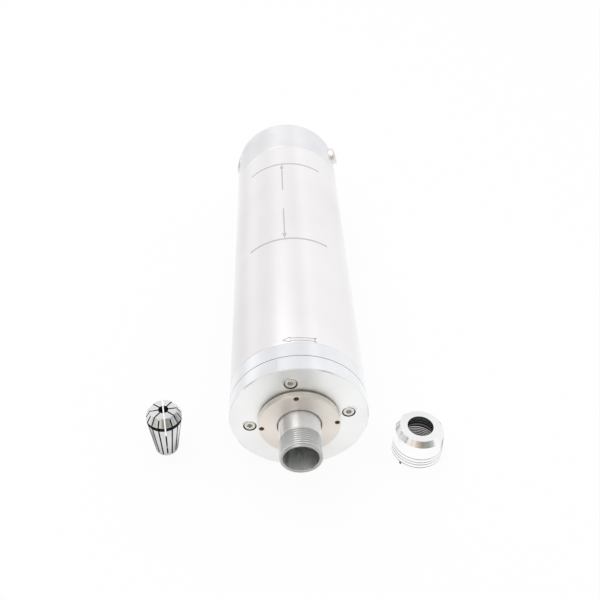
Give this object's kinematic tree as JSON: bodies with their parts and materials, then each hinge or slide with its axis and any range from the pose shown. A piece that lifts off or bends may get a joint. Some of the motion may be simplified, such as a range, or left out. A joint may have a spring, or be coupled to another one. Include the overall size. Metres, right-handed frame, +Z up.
{
  "type": "motor spindle",
  "caption": "Water-cooled motor spindle: ground cylindrical body, front cap with labyrinth disc, threaded collet nose and rear coolant ports, with its collet and clamping nut loose beside it.",
  "frame": {"origin": "on the spindle axis, in the middle of the marked clamping zone", "axes": "+Z up with the body lying down, spindle axis along Y, nose and tool towards -Y, +X to the right seen from the nose"},
  "size_m": [0.179, 0.334, 0.08],
  "materials": {
    "turned_steel": "fine turned, cool bright",
    "ground_tube": "ground satin, warm light grey",
    "cover_aluminium": "turned",
    "screw_steel": "stainless, satin",
    "disc_steel": "turned, warm grey",
    "shaft_steel": "ground and polished",
    "collet_steel": "ground and polished",
    "nut_steel": "polished",
    "jacket_aluminium": "machined",
    "seal_rubber": "matte",
    "lamination_steel": "stacked sheet edges",
    "winding_copper": "varnished enamelled copper wire",
    "cage_aluminium": "cast",
    "bearing_steel": "ground",
    "spring_steel": "blued",
    "port_brass": "plain turned",
    "connector_chrome": "nickel plated",
    "connector_plastic": "moulded",
    "contact_brass": "gold plated"
  },
  "bodies": {
    "housing": {"front_cap": "turned_steel", "cap_screws": "screw_steel", "front_bearing_housing": "turned_steel", "housing_tube": "ground_tube", "cooling_sleeve": "jacket_aluminium", "jacket_orings": "seal_rubber", "stator_core": "lamination_steel", "stator_winding": "winding_copper", "front_bearing_outer_rings": "bearing_steel", "front_outer_spacer": "bearing_steel", "rear_bearing_outer_rings": "bearing_steel", "preload_spring": "spring_steel", "rear_housing": "turned_steel", "rear_cover": "cover_aluminium", "cover_screws": "screw_steel", "connector_shell": "connector_chrome", "connector_nut": "connector_chrome", "connector_insert": "connector_plastic", "connector_pins": "contact_brass", "coolant_port_left": "port_brass", "coolant_port_right": "port_brass"},
    "rotor": {"spindle_shaft": "shaft_steel", "labyrinth_nut": "disc_steel", "front_bearing_inner_rings": "bearing_steel", "front_inner_spacer": "bearing_steel", "rotor_core": "lamination_steel", "rotor_cage": "cage_aluminium", "rear_bearing_inner_rings": "bearing_steel", "rear_lock_nut": "bearing_steel"},
    "front_balls": {"front_ball_rows": "bearing_steel"},
    "rear_balls": {"rear_ball_rows": "bearing_steel"},
    "collet": {"collet": "collet_steel"},
    "clamping_nut": {"clamping_nut": "nut_steel"}
  },
  "joints": [
    {"name": "shaft_spin", "type": "hinge", "parent": "housing", "child": "rotor", "pos_m": [0, 0, 0], "axis": [0, -1, 0], "continuous": true},
    {"name": "front_ball_spin", "type": "hinge", "parent": "housing", "child": "front_balls", "pos_m": [0, -0.1475, 0], "axis": [0, -1, 0], "continuous": true},
    {"name": "rear_ball_spin", "type": "hinge", "parent": "housing", "child": "rear_balls", "pos_m": [0, 0.0737, 0], "axis": [0, -1, 0], "continuous": true},
    {"name": "collet_lift", "type": "slide", "parent": "housing", "child": "collet", "axis": [0, 0, 1], "range_m": [0, 0.1]},
    {"name": "nut_lift", "type": "slide", "parent": "housing", "child": "clamping_nut", "axis": [0, 0, 1], "range_m": [0, 0.1]}
  ],
  "couplings": [
    {"joint": "front_ball_spin", "follows": "shaft_spin", "ratio": 0.4148},
    {"joint": "rear_ball_spin", "follows": "shaft_spin", "ratio": 0.4116}
  ]
}
